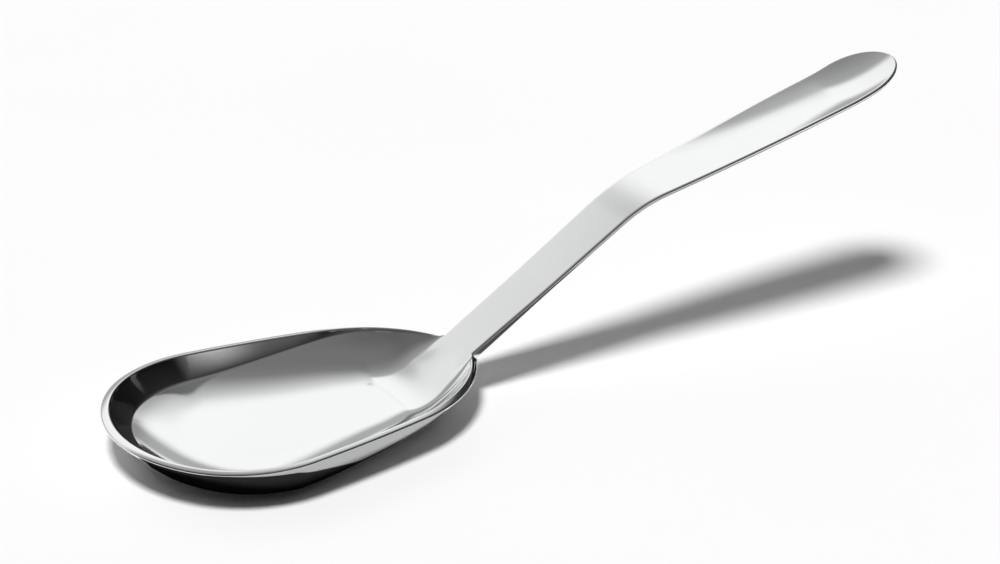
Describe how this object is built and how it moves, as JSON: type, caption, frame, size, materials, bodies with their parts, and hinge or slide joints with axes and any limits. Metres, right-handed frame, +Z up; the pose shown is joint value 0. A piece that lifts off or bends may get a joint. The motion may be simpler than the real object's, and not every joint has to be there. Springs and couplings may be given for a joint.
{
  "type": "rice serving spoon",
  "caption": "Polished steel rice serving spoon: a shallow egg-shaped bowl with a ramped neck, and a bent strap handle that widens to a dished round end.",
  "frame": {"origin": "on the flat underside of the bowl, on the spoon's plane of symmetry, near the middle of the bowl", "axes": "+X from the bowl along to the handle's end, +Z up out of the bowl's mouth, XZ is the plane of symmetry"},
  "size_m": [0.2484, 0.075, 0.0669],
  "materials": {
    "polished_steel": "mirror polished stainless steel",
    "ground_weld": "ground flush and polished"
  },
  "bodies": {
    "root": {"bowl": "polished_steel", "neck_weld": "ground_weld", "handle": "polished_steel"}
  },
  "joints": []
}
